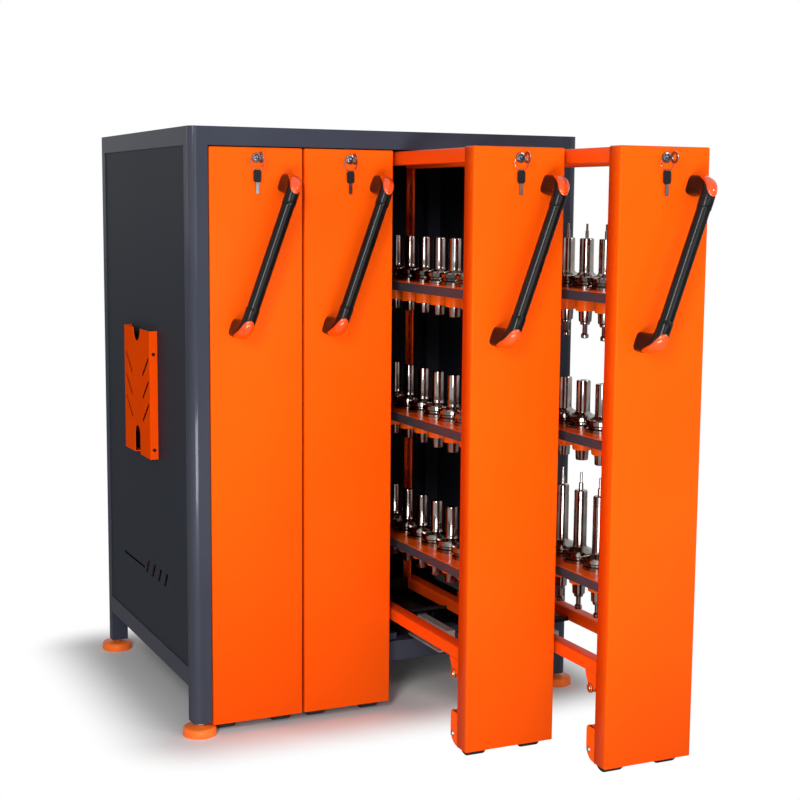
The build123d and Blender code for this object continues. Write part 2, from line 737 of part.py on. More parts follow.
def handle_plane(bay):
    """The plane of the panel's face with x up along the handle and its origin under the lower leg."""
    foot_z = PANEL_TOP - HANDLE_HEAD_BELOW_TOP - HANDLE_RISE
    origin = (bay_left(bay) + HANDLE_FOOT_X, 0, foot_z)
    return Plane(origin, x_dir=(HANDLE_RUN, 0, HANDLE_RISE), z_dir=(0, -1, 0))


def corner_outline(offset):
    """The outer side of a leg, from the panel up and round to the grip, moved out by an offset."""
    outer = -LEG_LENGTH / 2 - offset
    radius = LEG_ROUND + offset
    centre = (outer + radius, GRIP_STAND_OFF + LEG_SOCKET_RADIUS + offset - radius)
    return [(outer, 0), *reversed(quarter_round(centre, radius, 90))]


def leg_outline():
    """One leg seen from the side: foot on the panel, bend, and the socket that takes the grip."""
    under = GRIP_STAND_OFF - LEG_SOCKET_RADIUS
    return make_face(
        Polyline(
            *corner_outline(0),
            (SOCKET_REACH, GRIP_STAND_OFF + LEG_SOCKET_RADIUS),
            (SOCKET_REACH, under),
            (LEG_LENGTH / 2, under - LEG_INNER_DROP),
            (LEG_LENGTH / 2, 0),
            close=True,
        )
    )


def cap_outline():
    """The shield that wraps a leg's outer bend."""
    return make_face(
        Polyline(*corner_outline(0), *reversed(corner_outline(CAP_THICKNESS)), close=True)
    )


def handle_length():
    """The distance between the middles of the handle's two feet."""
    return hypot(HANDLE_RUN, HANDLE_RISE)


def both_ends(solid):
    """A solid at the handle's lower end and its mirror image at the upper end."""
    middle = Plane((handle_length() / 2, 0, 0), z_dir=(1, 0, 0))
    return [solid, mirror(solid, about=middle)]


def extruded_sideways(face, width):
    """A face drawn with x along the handle and y away from the panel, made solid across the handle."""
    return extrude(Plane.XZ * face, width / 2, both=True)


def handle(bay):
    """The round grip and its two legs."""
    leg = extruded_sideways(leg_outline(), LEG_WIDTH)
    grip_length = handle_length() - 2 * SOCKET_REACH
    grip = bar((SOCKET_REACH, 0, GRIP_STAND_OFF), GRIP_RADIUS, grip_length, (1, 0, 0))
    place = handle_plane(bay).location
    return [place * solid for solid in (grip, *both_ends(leg))]


def handle_caps(bay):
    """The two corner shields of a handle."""
    cap = extruded_sideways(cap_outline(), LEG_WIDTH)
    place = handle_plane(bay).location
    return [place * solid for solid in both_ends(cap)]


def lock_centre(bay):
    """The middle of the lock on the panel's face."""
    return bay_left(bay) + PANEL_WIDTH / 2, 0, PANEL_TOP - LOCK_BELOW_TOP


def lock_barrel(bay):
    """The lock's fixed barrel."""
    x, _, z = lock_centre(bay)
    front = (x, -LOCK_STANDS_OUT, z)
    outside = bar(front, LOCK_RADIUS, LOCK_LENGTH, (0, 1, 0))
    return outside - bore(front, PLUG_RADIUS + PLUG_CLEARANCE, LOCK_LENGTH, (0, 1, 0))


def lock_plug(bay):
    """The plug that turns in the barrel, the cam on its back end and the key in its front."""
    x, _, z = lock_centre(bay)
    back = LOCK_LENGTH - LOCK_STANDS_OUT
    cam_y = (back + CAM_GAP, back + CAM_GAP + CAM_SHEET)
    plug = bar((x, -LOCK_STANDS_OUT, z), PLUG_RADIUS, cam_y[1] + LOCK_STANDS_OUT, (0, 1, 0))
    cam = block((x - CAM_WIDTH / 2, x + CAM_LENGTH), cam_y, (z - CAM_WIDTH / 2, z + CAM_WIDTH / 2))
    shank_end = -LOCK_STANDS_OUT - KEY_SHANK_LENGTH
    key_x = (x - KEY_SHEET / 2, x + KEY_SHEET / 2)
    shank = block(
        key_x, (shank_end, -LOCK_STANDS_OUT), (z - KEY_SHANK_WIDTH / 2, z + KEY_SHANK_WIDTH / 2)
    )
    bow_y = shank_end - KEY_BOW_RADIUS * cos(pi / KEY_BOW_SIDES)
    bow_plane = Plane((key_x[0], bow_y, z), z_dir=(1, 0, 0))
    bow = extrude(bow_plane * RegularPolygon(KEY_BOW_RADIUS, KEY_BOW_SIDES), KEY_SHEET)
    hole = extrude(bow_plane * RegularPolygon(KEY_HOLE_RADIUS, KEY_BOW_SIDES), KEY_SHEET)
    return joined([plug, cam, shank - hole, bow - hole])


def spare_key(bay):
    """The spare key on its ring, which hangs on the shank of the key in the lock."""
    x, _, z = lock_centre(bay)
    y = -LOCK_STANDS_OUT - RING_CLEARANCE - RING_WIRE / 2
    shank_reach = hypot(KEY_SHANK_WIDTH, KEY_SHEET) / 2
    inner_flat = (RING_RADIUS - RING_WIRE) * cos(pi / SMALL_SIDES)
    ring_z = z + shank_reach + RING_CLEARANCE - inner_flat
    ring_front = (x, y - RING_WIRE / 2, ring_z)
    ring = bar(ring_front, RING_RADIUS, RING_WIRE, (0, 1, 0))
    ring -= bar(ring_front, RING_RADIUS - RING_WIRE, RING_WIRE, (0, 1, 0))
    head_top = ring_z - RING_RADIUS + 2 * RING_WIRE
    head_foot = head_top - SPARE_HEAD_HEIGHT
    half = SPARE_HEAD_WIDTH / 2
    corner = half / 2
    head_face = make_face(
        Polyline(
            (x - half, head_foot),
            (x + half, head_foot),
            (x + half, head_top - corner),
            (x + corner, head_top),
            (x - corner, head_top),
            (x - half, head_top - corner),
            close=True,
        )
    )
    head_plane = Plane((0, y - SPARE_HEAD_THICKNESS / 2, 0), x_dir=(1, 0, 0), z_dir=(0, -1, 0))
    head = extrude(head_plane * head_face, -SPARE_HEAD_THICKNESS)
    blade = block(
        (x - SPARE_BLADE_WIDTH / 2, x + SPARE_BLADE_WIDTH / 2),
        (y - KEY_SHEET / 2, y + KEY_SHEET / 2),
        (head_foot - SPARE_BLADE_LENGTH, head_foot),
    )
    return joined([head, ring, blade])


def build_cabinet():
    """Writes the pieces that stand still, and the four feet."""
    write("cabinet_frame", cabinet_frame())
    write("left_side_panel", left_side_panel())
    write("right_side_panel", side_sheet(CABINET_WIDTH, -1))
    write("back_panel", back_panel())
    write("document_pocket", document_pocket())
    write("outer_runners", *[outer_runner(bay) for bay in range(BAY_COUNT)])
    for front_or_back, y in (("front", FOOT_INSET), ("back", CABINET_DEPTH - FOOT_INSET)):
        for side, x in (("left", FOOT_INSET), ("right", CABINET_WIDTH - FOOT_INSET)):
            write(f"foot_{front_or_back}_{side}", foot(x, y))


def build_bay(bay):
    """Writes one bay's pieces, pulled out as far as it stands in the rest position."""
    pull = BAY_PULLED_OUT[bay]
    name = f"bay_{bay + 1}"

    def pulled(solids, share=1.0):
        return [Pos(0, -pull * share, 0) * solid for solid in solids]

    write(f"{name}_panel", *pulled([bay_panel(bay)]))
    write(f"{name}_frame", *pulled([bay_frame(bay)]))
    write(f"{name}_trays", *pulled([tray(bay, top) for top in TRAY_TOPS]))
    write(f"{name}_socket_plates", *pulled([socket_plate(bay, top) for top in TRAY_TOPS]))
    if bay in LOADED_BAYS:
        write(f"{name}_tool_holders", *pulled(tool_holders(bay)))
    write(f"{name}_runner_rail", *pulled([bay_rail(bay)]))
    write(f"{name}_runner_middle", *pulled([middle_runner(bay)], 0.5))
    write(f"{name}_handle", *pulled(handle(bay)))
    write(f"{name}_handle_caps", *pulled(handle_caps(bay)))
    write(f"{name}_lock_barrel", *pulled([lock_barrel(bay)]))
    write(f"{name}_lock_plug", *pulled([lock_plug(bay)]))
    write(f"{name}_spare_key", *pulled([spare_key(bay)]))
    write(f"{name}_wheels", *pulled([wheel(x) for x in wheel_centres(bay)]))


os.makedirs("parts", exist_ok=True)
build_cabinet()
for bay_number in range(BAY_COUNT):
    build_bay(bay_number)
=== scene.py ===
"""The looks of a tool storage cabinet with four pull-out bays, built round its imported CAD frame.

Lengths are in millimetres in the cabinet's own coordinates: x to the right from the left side, y to
the back from the front, z up from the floor. piece() turns them into metres in the frame. A profile
is a list of radii and heights that turned() carries round an axis.
"""
from math import radians, sin, cos, pi, hypot
import bmesh
import bpy
import numpy as np
from mathutils import Matrix, Vector


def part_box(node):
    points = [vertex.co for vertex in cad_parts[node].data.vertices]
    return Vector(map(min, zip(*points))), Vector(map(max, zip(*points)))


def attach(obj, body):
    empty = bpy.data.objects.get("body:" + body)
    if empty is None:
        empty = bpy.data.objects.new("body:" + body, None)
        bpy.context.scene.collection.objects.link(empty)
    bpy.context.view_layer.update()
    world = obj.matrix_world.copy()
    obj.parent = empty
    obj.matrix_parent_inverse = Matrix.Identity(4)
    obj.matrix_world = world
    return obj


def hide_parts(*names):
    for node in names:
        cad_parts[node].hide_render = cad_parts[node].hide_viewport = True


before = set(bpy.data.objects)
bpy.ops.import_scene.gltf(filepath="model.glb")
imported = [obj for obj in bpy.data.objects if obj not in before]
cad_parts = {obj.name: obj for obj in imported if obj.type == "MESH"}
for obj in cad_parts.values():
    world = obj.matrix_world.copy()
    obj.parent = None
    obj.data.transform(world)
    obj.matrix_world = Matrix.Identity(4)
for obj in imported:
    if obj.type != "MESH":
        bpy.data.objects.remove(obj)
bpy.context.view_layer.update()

MM = 0.001
ORIGIN = np.array((*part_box("cabinet_frame")[0].xy, 0.0))


def box_mm(node):
    """A node's lowest and highest corner in cabinet millimetres."""
    return [(np.array(corner) - ORIGIN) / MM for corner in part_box(node)]


# Sizes of the cabinet
CABINET_WIDTH, CABINET_DEPTH, CABINET_HEIGHT = box_mm("cabinet_frame")[1]
POST_SIDE = 37
POST_ROUND = 14
POST_FOOT = 26
EDGE_PROUD = 0.25
EDGE_REACH = 15
EDGE_SHEET = 1
EDGE_BELOW_TOP = 0.3
FOOT_RADIUS = 34
FOOT_HEIGHT = 18
STEM_RADIUS = 6
STEM_TOP = 58
BASE_FRONT_Y = 80
BASE_BACK_GAP = 3
BASE_SHEET_Z = (131.5, 133)
POCKET_SCREW_SHARES = (0.074, 0.82)

# Sizes of a bay's panel, frame and trays, with its places measured back from the panel's face
SHEET = 1.5
BEND = 3
TUBE_WIDTH = 28
TUBE_INSET = 8
TUBE_ROUND = 3
BAY_LENGTH = 620
PANEL_FLANGE = 37
CROSS_BAR = 30
CROSS_BAR_WALL = 3
MIDDLE_BAR_TO_END = 228
MIDDLE_BAR_LEG_TOP = 195
TOP_TUBE_HEIGHT = 27
LOW_TUBE = (186, 211)
SHOE_LENGTH = 40
SHOE_HEIGHT = 26
SHOE_HALF_WIDTH = 14
SHOE_NECK_HEIGHT = 12
SHOE_NECK_HALF_WIDTH = 6
UPRIGHT_WIDTH = 36
UPRIGHT_DEPTH = 3
UPRIGHT_BEND = 0.8
UPRIGHT_YS = (40, 580)
SLOT_PITCH = 32
SLOT_HEIGHT = 18
SLOT_WIDTH = 8
TRAY_FRONT_Y = 40
TRAY_REAR_Y = 616
TRAY_HEIGHT = 18
TRAY_DROPS = (267, 542, 813)
PLATE_GAP = 0.6
PLATE_LOW = -0.4
PLATE_HIGH = 1
SOCKET_PITCH = 70
SOCKETS_IN_ROW = 7
CUP_RADIUS = 19.5
CUP_DROP = 44
SHANK_DROP = 64
BRACKET_FRONT_Y = 50
BRACKET_LENGTH = 38
BRACKET_DROP = 38
BRACKET_NOSE = 14
BRACKET_ROUND = 9
ROLLER_RADIUS = 8.5
ROLLER_Y = 66

# Sizes of the handle, the lock and its keys
HANDLE_FOOT_X = 53
HANDLE_RUN = 102
HANDLE_RISE = 280
HANDLE_HEAD_BELOW_TOP = 69
GRIP_RADIUS = 12.5
GRIP_STAND_OFF = 55
COLLAR_RADIUS = 13.5
LEG_HALF_LENGTH = 18
LEG_POWER = 0.55
SOCKET_REACH = 44
LIP_SHARE = 0.96
CAP_SUNK = 0.4
CAP_DEPTH = 1.2
CAP_BULGE = 3.2
CAP_REACH = 1.1
CAP_START = 0.15
CAP_END = 0.88
LOCK_BELOW_TOP = 20
BOW_Y = -26.2
BOW_RADII = (11, 6)
BOW_HALF_WIDTH = 1.1
RING_Y = -5
RING_DROP = 9.2
RING_RADIUS = 13.8
WIRE_RADIUS = 0.7

# Sizes of the wheels and their forks
WHEEL_RADIUS = 25
WHEEL_WIDTH = 36
WHEEL_Y = 40
WHEEL_INSET = 36
FORK_LENGTH = 68
FORK_TOP = 88
FORK_FOOT = 20
FORK_SHEET = 3
FORK_GAP = 2
FORK_ROUND = 26
FORK_TOP_CORNER = 10
BOLT_Y = 58
BOLT_Z = 40


# Shapes


class Shape:
    """Points in millimetres and groups of faces, each group an array of corner numbers."""

    def __init__(self, points, faces):
        self.points = np.asarray(points, float).reshape(-1, 3)
        self.faces = [np.asarray(group) for group in faces]

    def __add__(self, other):
        shifted = [group + len(self.points) for group in other.faces]
        return Shape(np.vstack((self.points, other.points)), self.faces + shifted)

    def __radd__(self, start):
        return self

    def moved(self, x=0, y=0, z=0):
        return Shape(self.points + (x, y, z), self.faces)

    def mapped(self, origin, x_dir, y_dir, z_dir):
        """The shape with its own x, y and z laid along three directions from an origin."""
        axes = np.array((x_dir, y_dir, z_dir), float)
        return Shape(np.asarray(origin, float) + self.points @ axes, self.faces)

    def copies(self, places):
        """The shape once at each place."""
        places = np.asarray(places, float).reshape(-1, 1, 3)
        count = len(self.points)
        shift = np.arange(len(places))[:, None, None] * count
        faces = [(group[None] + shift).reshape(-1, group.shape[1]) for group in self.faces]
        return Shape((self.points[None] + places).reshape(-1, 3), faces)


def skin(rows, caps=True, loop=False, around=True):
    """Quads between neighbouring rows of points, closed around each row, with a face at each end."""
    rows = np.asarray(rows, float)
    count, width = rows.shape[:2]
    number = np.arange(count * width).reshape(count, width)
    after = np.roll(number, -1, axis=0) if loop else number[1:]
    before = number if loop else number[:-1]
    if around:
        quads = (before, np.roll(before, -1, axis=1), np.roll(after, -1, axis=1), after)
    else:
        quads = (before[:, :-1], before[:, 1:], after[:, 1:], after[:, :-1])
    faces = [np.stack(quads, axis=-1).reshape(-1, 4)]
    if caps and not loop:
        faces += [number[:1, ::-1], number[-1:]]
    return Shape(rows.reshape(-1, 3), faces)


def whole_turn(count):
    """Angles spread evenly round a whole turn, in radians."""
    return 2 * pi * np.arange(count) / count


def turned(profile, sides=24):
    """A surface of revolution about z: x = r cos a and y = r sin a for each radius r and height z."""
    radius, height = np.array(profile, float).T
    angle = whole_turn(sides)
    rows = np.stack(
        (
            radius[:, None] * np.cos(angle),
            radius[:, None] * np.sin(angle),
            np.broadcast_to(height[:, None], (len(radius), sides)),
        ),
        axis=-1,
    )
    return skin(rows)


def along_x(shape, place, way=1):
    """A shape set at a place with its z along x, or against x where way is -1."""
    return shape.mapped(place, (0, 1, 0), (0, 0, 1), (way, 0, 0))


AXES = {"xy": (0, 1, 2), "yz": (1, 2, 0), "xz": (0, 2, 1)}


def raised(outline, level, across):
    """A flat outline in the plane named by across, at one level along the third axis."""
    points = np.empty((len(outline), 3))
    first, second, third = AXES[across]
    points[:, first], points[:, second] = np.asarray(outline, float).T
    points[:, third] = level
    return points


def prism(outline, low, high, across="xy"):
    """A flat outline carried from a low to a high level along the third axis."""
    return skin([raised(outline, level, across) for level in (low, high)])


def hollow(outer, inner, low, high, across="xy"):
    """A straight tube between an outer and an inner outline with as many points as each other."""
    rows = [raised(outer, low, across), raised(outer, high, across)]
    rows += [raised(inner, high, across), raised(inner, low, across)]
    return skin(rows, loop=True)


def arc(centre, radius, start, turn, steps=5):
    """Points on a circle from a start angle through a turn, both in degrees."""
    angle = np.radians(np.linspace(start, start + turn, steps + 1))
    return np.stack((centre[0] + radius * np.cos(angle), centre[1] + radius * np.sin(angle)), axis=-1)


def circle(centre, radius, count=48):
    """Points spread evenly round a whole circle."""
    return arc(centre, radius, 0, 360 - 360 / count, count - 1)


def rounded(x, y, radius, steps=4):
    """A rectangle whose four corners are quarter circles."""
    corners = ((x[1], y[1], 0), (x[0], y[1], 90), (x[0], y[0], 180), (x[1], y[0], 270))
    middle = ((x[0] + x[1]) / 2, (y[0] + y[1]) / 2)
    arcs = []
    for corner_x, corner_y, start in corners:
        centre = (
            corner_x + np.sign(middle[0] - corner_x) * radius,
            corner_y + np.sign(middle[1] - corner_y) * radius,
        )
        arcs.append(arc(centre, radius, start, 90, steps))
    return np.vstack(arcs)


def rectangle(x, y):
    """The four corners of a rectangle."""
    return np.array(((x[0], y[0]), (x[1], y[0]), (x[1], y[1]), (x[0], y[1])), float)


def block(x, y, z):
    """A plain bar between a low and a high limit along each axis."""
    return prism(rectangle(x, y), *z)


def square_tube(x, z, y):
    """A square tube along y with rounded edges, open at its ends."""
    outer = rounded(x, z, TUBE_ROUND)
    inner = rounded((x[0] + SHEET, x[1] - SHEET), (z[0] + SHEET, z[1] - SHEET), TUBE_ROUND - SHEET)
    return hollow(outer, inner, *y, across="xz")


def piece(name, shape, look, body, replaces=(), bevel=0.0, wall=0.0, sharp=35):
    """One finished piece: its mesh in metres, smooth up to a sharp angle, riding on its body."""
    mesh = bpy.data.meshes.new(name)
    faces = [row for group in shape.faces for row in group.tolist()]
    mesh.from_pydata((shape.points * MM + ORIGIN).tolist(), [], faces)
    form = bmesh.new()
    form.from_mesh(mesh)
    bmesh.ops.recalc_face_normals(form, faces=form.faces)
    form.to_mesh(mesh)
    form.free()
    mesh.shade_smooth()
    mesh.set_sharp_from_angle(angle=radians(sharp))
    mesh.materials.append(look)
    thing = bpy.data.objects.new(name, mesh)
    bpy.context.scene.collection.objects.link(thing)
    if bevel:
        edge = thing.modifiers.new("edge", "BEVEL")
        edge.width = bevel * MM
        edge.segments = 2
        edge.limit_method = "ANGLE"
        edge.angle_limit = radians(40)
        edge.harden_normals = True
    if wall:
        sheet = thing.modifiers.new("sheet", "SOLIDIFY")
        sheet.thickness = wall * MM
        sheet.offset = -1
    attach(thing, body)
    if replaces:
        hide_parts(*([replaces] if isinstance(replaces, str) else replaces))
    return thing


# Materials


def linear(red, green, blue):
    """A shader colour from the 0 to 255 values of a screen colour."""
    value = np.array((red, green, blue)) / 255
    value = np.where(value <= 0.04045, value / 12.92, ((value + 0.055) / 1.055) ** 2.4)
    return (*value.tolist(), 1.0)


class Number:
    """A value inside a material. Sums and products of values add their Math nodes."""

    def __init__(self, look, socket):
        self.look = look
        self.socket = socket

    def __add__(self, other):
        return self.look.maths("ADD", self, other)

    def __sub__(self, other):
        return self.look.maths("SUBTRACT", self, other)

    def __mul__(self, other):
        return self.look.maths("MULTIPLY", self, other)

    __radd__ = __add__
    __rmul__ = __mul__


class Look:
    """One material: a Principled shader and the nodes that feed it."""

    def __init__(self, name, constants=None):
        self.material = bpy.data.materials.new(name)
        self.material.use_nodes = True
        self.tree = self.material.node_tree
        self.shader = self.tree.nodes["Principled BSDF"]
        for socket, value in (constants or {}).items():
            self.shader.inputs[socket].default_value = value

    def add(self, kind, settings=None, inputs=None, output=0):
        """A node with its settings made first, then its inputs, and one of its outputs as a value."""
        node = self.tree.nodes.new(kind)
        for setting, value in (settings or {}).items():
            setattr(node, setting, value)
        for socket, value in (inputs or {}).items():
            self.join(node.inputs[socket], value)
        return Number(self, node.outputs[output])

    def join(self, socket, value):
        """Links a value to a socket, or sets the socket if the value is a plain number or colour."""
        if isinstance(value, Number):
            self.tree.links.new(value.socket, socket)
        else:
            socket.default_value = value

    def maths(self, operation, *values):
        return self.add("ShaderNodeMath", {"operation": operation}, dict(enumerate(values)))

    def between(self, value, low, high):
        """A value's share of the way from a low to a high limit, held between 0 and 1."""
        limits = {"Value": value, "From Min": low, "From Max": high}
        return self.add("ShaderNodeMapRange", {"interpolation_type": "SMOOTHSTEP"}, limits)

    def blend(self, share, first, second):
        """A colour on the way from a first to a second one."""
        return self.add("ShaderNodeMix", {"data_type": "RGBA"}, {0: share, 6: first, 7: second}, 2)

    def place(self):
        """The point on the piece, in metres."""
        return self.add("ShaderNodeTexCoord", output="Object")

    def axis(self, index):
        return self.add("ShaderNodeSeparateXYZ", inputs={0: self.place()}, output=index)

    def noise(self, scale, detail=2.0, stretch=(1, 1, 1)):
        """Soft noise of a number of blobs to the metre, stretched along the axes."""
        vector = self.add("ShaderNodeVectorMath", {"operation": "MULTIPLY"},
                          {0: self.place(), 1: stretch})
        inputs = {"Vector": vector, "Scale": scale, "Detail": detail}
        return self.add("ShaderNodeTexNoise", inputs=inputs)

    def bump(self, height, depth, strength):
        """A surface raised by a height of 0 to 1 times a depth in metres."""
        normal = self.add("ShaderNodeBump", inputs={"Height": height, "Distance": depth,
                                                    "Strength": strength})
        self.feed("Normal", normal)

    def feed(self, socket, value):
        self.join(self.shader.inputs[socket], value)


def powder_coat(name, colour, shadow, roughness=0.38, depth=0.00006, sheen=0.12):
    """Baked powder paint: an orange-peel surface, a faint drift of tone and a little dust."""
    look = Look(name, {"Specular IOR Level": sheen})
    drift = look.noise(2.5, 3.0)
    grain = look.noise(900.0, 1.0)
    look.feed("Base Color", look.blend(look.between(drift, 0.3, 0.7), shadow, colour))
    look.feed("Roughness", roughness + 0.1 * (grain - 0.5) + 0.12 * (drift - 0.5))
    look.bump(look.noise(650.0, 1.5), depth, 0.6)
    return look


def bright_steel(name, colour, dark, roughness, lines, metallic=1.0):
    """Polished or turned steel, with fine rings about the vertical and a soft change of tone."""
    look = Look(name, {"Metallic": metallic})
    rings = look.noise(lines, 3.0, (0.02, 0.02, 1.0))
    stain = look.noise(30.0, 2.0)
    look.feed("Base Color", look.blend(look.between(stain, 0.25, 0.75), dark, colour))
    look.feed("Roughness", roughness + 0.12 * (rings - 0.5) + 0.08 * (stain - 0.5))
    look.bump(rings, 0.00003, 0.35)
    return look


def moulded(name, colour, shadow, roughness, coat=0.0, sheen=0.2):
    """Moulded plastic or rubber with a fine texture."""
    look = Look(name, {"Coat Weight": coat, "Coat Roughness": 0.06, "Specular IOR Level": sheen})
    drift = look.noise(25.0, 2.0)
    grain = look.noise(1600.0, 1.0)
    look.feed("Base Color", look.blend(look.between(drift, 0.3, 0.7), shadow, colour))
    look.feed("Roughness", roughness + 0.08 * (grain - 0.5) + 0.06 * (drift - 0.5))
    look.bump(grain, 0.00003, 0.4)
    return look


# The paints, each with its screen colour and the slightly darker one that it drifts to
GREY = powder_coat("grey_coat", linear(61, 64, 76), linear(55, 58, 69), 0.3, 0.00009, 0.03).material
EDGE_GREY = powder_coat("post_edge_coat", linear(61, 64, 76), linear(55, 58, 69), 0.3, 0.00009, 0.03)
EDGE_GREY.feed("Coat Weight", 0.35)
EDGE_GREY.feed("Coat Roughness", 0.08)
# The side and back sheets are a darker grey than the frame: painted shade for faces that get less
# light than the front
SIDE_GREY_PAINTED_SHADE = powder_coat(
    "side_sheet_coat_painted_shade", linear(40, 44, 53), linear(35, 39, 47), 0.5, 0.0001, 0.04
).material
ORANGE = powder_coat("orange_coat", linear(255, 93, 8), linear(254, 88, 6), 0.36, sheen=0.05).material
FRAME_ORANGE = powder_coat("orange_frame_coat", linear(250, 84, 14), linear(246, 76, 10), 0.4).material
# The pocket's orange is darker than the panels': painted shade for its side-facing face, which gets
# less light
POCKET_ORANGE_PAINTED_SHADE = powder_coat(
    "pocket_coat_painted_shade", linear(244, 78, 5), linear(238, 72, 5), 0.42, sheen=0.0
).material
PLATE_ORANGE = powder_coat(
    "socket_coat", linear(255, 104, 14), linear(250, 96, 12), 0.24, sheen=0.1
).material
TRAY_GREY = powder_coat("tray_coat", linear(72, 64, 72), linear(64, 57, 64), 0.4, sheen=0.15).material
BLACK = powder_coat("black_coat", linear(26, 26, 30), linear(20, 20, 23), 0.5, sheen=0.15).material
ZINC = bright_steel("zinc_plate", (0.5, 0.49, 0.47, 1), (0.4, 0.39, 0.37, 1), 0.36, 90.0).material
RUNNER_ZINC = bright_steel(
    "runner_zinc", (0.42, 0.42, 0.4, 1), (0.34, 0.34, 0.32, 1), 0.45, 90.0, metallic=0.3
).material
# The holders' steel is dark and warm in colour: a painted reflection of the dim orange bays that
# polished steel mirrors
HOLDER_STEEL_PAINTED_REFLECTION = bright_steel(
    "holder_steel", (0.32, 0.29, 0.27, 1), (0.19, 0.17, 0.15, 1), 0.1, 700.0
).material
LOCK_STEEL = bright_steel(
    "lock_nickel", (0.26, 0.26, 0.28, 1), (0.15, 0.15, 0.17, 1), 0.2, 500.0
).material
BRASS = bright_steel("roller_brass", (0.6, 0.42, 0.2, 1), (0.42, 0.28, 0.13, 1), 0.26, 300.0).material
FOOT_PLASTIC = moulded("foot_plastic", linear(252, 118, 40), linear(244, 106, 32), 0.42).material
HANDLE_BLACK = moulded("handle_black", linear(18, 17, 18), linear(12, 11, 12), 0.2).material
HANDLE_ORANGE = moulded(
    "handle_orange", linear(250, 80, 5), linear(242, 72, 3), 0.12, 0.9, 0.1
).material
KEY_BLACK = moulded("key_head_black", linear(18, 17, 19), linear(13, 12, 14), 0.45).material
RUBBER = moulded("wheel_rubber", linear(46, 38, 37), linear(36, 30, 30), 0.7).material


def repaint(node, look):
    """Gives a CAD node one of this scene's materials."""
    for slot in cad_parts[node].material_slots:
        slot.material = look


# Bays


class Bay:
    """Where one bay stands: its edges, its front, its tubes and trays, and its names."""

    def __init__(self, number):
        self.name = f"bay_{number}"
        low, high = box_mm(f"{self.name}_panel")
        self.left, self.front = low[0], low[1]
        self.right, self.top = high[0], high[2]
        self.foot = low[2]
        self.middle = (self.left + self.right) / 2
        self.loaded = f"{self.name}_tool_holders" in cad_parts
        self.tray_tops = [self.top - drop for drop in TRAY_DROPS]
        self.top_tube = (self.top - SHEET - TOP_TUBE_HEIGHT, self.top - SHEET)

    def y(self, *places):
        """Places along the bay, measured back from its panel's face."""
        return tuple(self.front + place for place in places)

    def tubes(self):
        """The x limits of the left and the right tube."""
        return (
            (self.left + TUBE_INSET, self.left + TUBE_INSET + TUBE_WIDTH),
            (self.right - TUBE_INSET - TUBE_WIDTH, self.right - TUBE_INSET),
        )

    def between(self):
        """The x limits of the space between the tubes."""
        left, right = self.tubes()
        return left[1], right[0]

    def uprights(self):
        """Each upright's web x, the way its lips point, and its front edge's y."""
        left, right = self.between()
        webs = ((left, -1), (right, 1))
        return [(x, outward, y) for x, outward in webs for y in self.y(*UPRIGHT_YS)]

    def sockets(self, z):
        """The middle of each socket of one tray, in one row."""
        steps = SOCKET_PITCH * (np.arange(SOCKETS_IN_ROW) - (SOCKETS_IN_ROW - 1) / 2)
        row_middle = self.front + (TRAY_FRONT_Y + TRAY_REAR_Y) / 2
        return [(self.middle, row_middle + step, z) for step in steps]

    def own(self, what):
        return f"{self.name}_{what}"


BAYS = [Bay(number) for number in (1, 2, 3, 4)]

# Profiles of the cups and the tool holders, from their tips upwards, with heights over the tray
CUP = [(12.4, -CUP_DROP + 2), (13.5, -CUP_DROP), (17.5, -CUP_DROP), (19.2, -CUP_DROP + 1.5),
       (CUP_RADIUS, -CUP_DROP + 4), (CUP_RADIUS + 0.8, -TRAY_HEIGHT)]
SHANK = [(11.5, -SHANK_DROP), (12.4, -SHANK_DROP + 1.5), (13.6, -CUP_DROP + 4), (18, -10)]
FLANGE = [(30, 0.5), (31.5, 1.5), (31.5, 6.5), (27.5, 9.5), (27.5, 12.5), (31.5, 15.5), (31.5, 22.5),
          (29.5, 25)]
STUD = [(3, -98), (7, -97), (7.5, -95), (7.5, -90), (5, -87), (5, -72), (8.5, -71), (9.5, -69),
        (9.5, -SHANK_DROP - 2), (12.5, -SHANK_DROP)]

FACE_MILL_HOLDER = SHANK + FLANGE + [
    (20, 26.5), (14.2, 29), (12.8, 32), (12.5, 36), (12.5, 91), (11.6, 93.4), (9.5, 94), (6.2, 94),
    (6, 83)]
SIDE_LOCK_HOLDER = STUD + SHANK[2:] + FLANGE + [
    (24, 26), (18, 29), (14.4, 32), (14, 36), (14, 95), (13, 97.6), (10, 98), (3.6, 98), (3.5, 112),
    (2.4, 113), (2.3, 125), (0.6, 126)]
SHRINK_HOLDER = SHANK + FLANGE + [
    (24, 26), (18, 29), (14.6, 32), (14, 36), (14, 92), (13, 94.6), (10, 95), (6.4, 95), (6.2, 83)]
DRILL_HOLDER = STUD + SHANK[2:] + FLANGE + [
    (27, 26), (20, 29), (14, 32), (13.2, 36), (13, 126), (12.4, 126.6), (12.4, 128), (13, 128.6),
    (13, 144), (11.6, 146), (4.6, 146.4), (4.5, 154), (4.4, 160), (2.6, 161), (2.5, 181), (0.4, 182)]

# The holders on a bay's trays, from the top one down
HOLDERS = {
    "bay_3": (FACE_MILL_HOLDER, FACE_MILL_HOLDER, FACE_MILL_HOLDER),
    "bay_4": (SIDE_LOCK_HOLDER, SHRINK_HOLDER, DRILL_HOLDER),
}


def tool_holders(bay):
    """All the holders of one bay."""
    rows = [
        turned(profile).copies(bay.sockets(top))
        for top, profile in zip(bay.tray_tops, HOLDERS[bay.name])
    ]
    piece(bay.own("holders"), sum(rows), HOLDER_STEEL_PAINTED_REFLECTION, bay.name,
          replaces=bay.own("tool_holders"), sharp=28)


